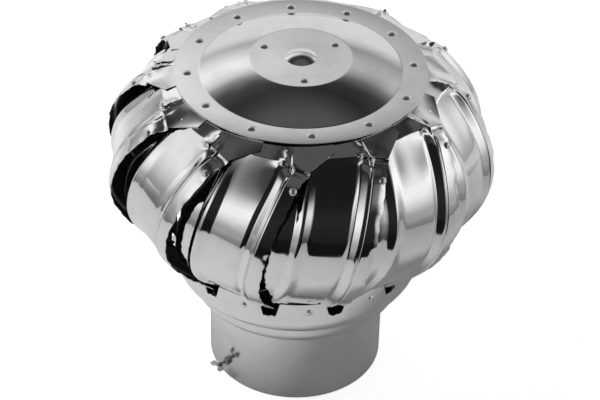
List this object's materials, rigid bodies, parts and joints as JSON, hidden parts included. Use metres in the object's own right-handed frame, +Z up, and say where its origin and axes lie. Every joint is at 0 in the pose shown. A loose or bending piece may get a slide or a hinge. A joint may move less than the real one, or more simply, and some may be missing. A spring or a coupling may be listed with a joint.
{
  "type": "rotating chimney cowl",
  "caption": "Wind-driven rotating chimney cowl of polished sheet steel: ribbed leaning vanes riveted under a domed cap, turning on ball bearings over a round neck sleeve.",
  "frame": {"origin": "centre of the neck's lower edge, on the axis of the rotor", "axes": "+Z up along the neck and the rotor's axis, from the neck to the cap; -Y towards the viewer of the picture"},
  "size_m": [0.328, 0.328, 0.3126],
  "materials": {
    "neck_steel": "polished",
    "cap_steel": "mirror polished",
    "vane_steel": "mirror polished",
    "rivet_steel": "bright",
    "hub_steel": "turned",
    "race_steel": "ground",
    "strap_steel": "plain",
    "screw_steel": "bright"
  },
  "bodies": {
    "base": {"neck_sleeve": "neck_steel", "lower_strap": "strap_steel", "upper_strap": "strap_steel", "strap_washer": "strap_steel", "strap_nut": "strap_steel", "shaft": "hub_steel", "lower_inner_race": "race_steel", "upper_inner_race": "race_steel", "race_spacer": "race_steel", "lock_nut": "strap_steel", "clamp_nuts": "screw_steel"},
    "rotor": {"top_cap": "cap_steel", "skirt_ring": "cap_steel", "bearing_housing": "hub_steel", "lower_outer_race": "race_steel", "upper_outer_race": "race_steel", "circlip": "race_steel", "rim_rivets": "rivet_steel", "hub_rivets": "rivet_steel", "skirt_rivets": "rivet_steel", "hem_rivets": "rivet_steel", "vane_01": "vane_steel", "vane_02": "vane_steel", "vane_03": "vane_steel", "vane_04": "vane_steel", "vane_05": "vane_steel", "vane_06": "vane_steel", "vane_07": "vane_steel", "vane_08": "vane_steel", "vane_09": "vane_steel", "vane_10": "vane_steel", "vane_11": "vane_steel", "vane_12": "vane_steel"},
    "clamp_a": {"clamp_screw_a": "screw_steel"},
    "clamp_b": {"clamp_screw_b": "screw_steel"}
  },
  "joints": [
    {"name": "rotor_spin", "type": "hinge", "parent": "base", "child": "rotor", "pos_m": [0, 0, 0.2], "axis": [0, 0, 1], "continuous": true},
    {"name": "clamp_a_screw", "type": "slide", "parent": "base", "child": "clamp_a", "axis": [-0.7826, -0.6225, 0], "range_m": [-0.0038, 0.003]},
    {"name": "clamp_b_screw", "type": "slide", "parent": "base", "child": "clamp_b", "axis": [0.7826, 0.6225, 0], "range_m": [-0.0038, 0.003]}
  ]
}
